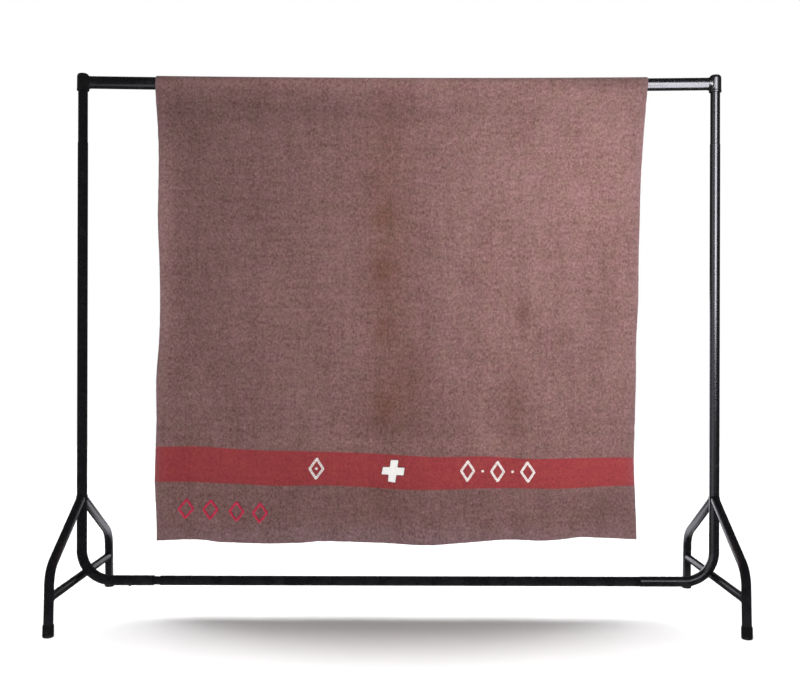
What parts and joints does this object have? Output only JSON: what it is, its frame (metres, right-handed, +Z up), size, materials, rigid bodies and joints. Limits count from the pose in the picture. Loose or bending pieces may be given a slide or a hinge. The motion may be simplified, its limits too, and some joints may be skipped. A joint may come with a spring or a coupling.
{
  "type": "wool blanket hanging on a clothes rail",
  "caption": "Felted wool blanket with a woven stripe and a sewn cross, draped over the top tube of a free-standing clothes rail with splayed legs.",
  "frame": {"origin": "on the floor, midway between the four feet and under the top tube", "axes": "+X along the top tube to the right as seen from the blanket's long front, +Y to the back, +Z up"},
  "size_m": [1.8364, 0.5646, 1.524],
  "materials": {
    "wool_cloth": "felted mauve-brown wool with a woven red stripe",
    "white_felt": "white felt, sewn on",
    "black_paint": "satin black powder coat",
    "black_plastic": "moulded black plastic",
    "black_rubber": "matt black rubber"
  },
  "bodies": {
    "root": {"blanket": "wool_cloth", "cross": "white_felt", "top_rail": "black_paint", "bottom_rail": "black_paint", "corner_fitting_left": "black_plastic", "corner_fitting_right": "black_plastic", "upper_post_left": "black_paint", "upper_post_right": "black_paint", "upright_left": "black_paint", "upright_right": "black_paint", "base_corner_left": "black_paint", "base_corner_right": "black_paint", "brace_front_left": "black_paint", "brace_rear_left": "black_paint", "brace_front_right": "black_paint", "brace_rear_right": "black_paint", "leg_front_left": "black_paint", "leg_rear_left": "black_paint", "leg_front_right": "black_paint", "leg_rear_right": "black_paint", "crossbar_left": "black_paint", "crossbar_right": "black_paint", "foot_front_left": "black_rubber", "foot_rear_left": "black_rubber", "foot_front_right": "black_rubber", "foot_rear_right": "black_rubber"}
  },
  "joints": []
}
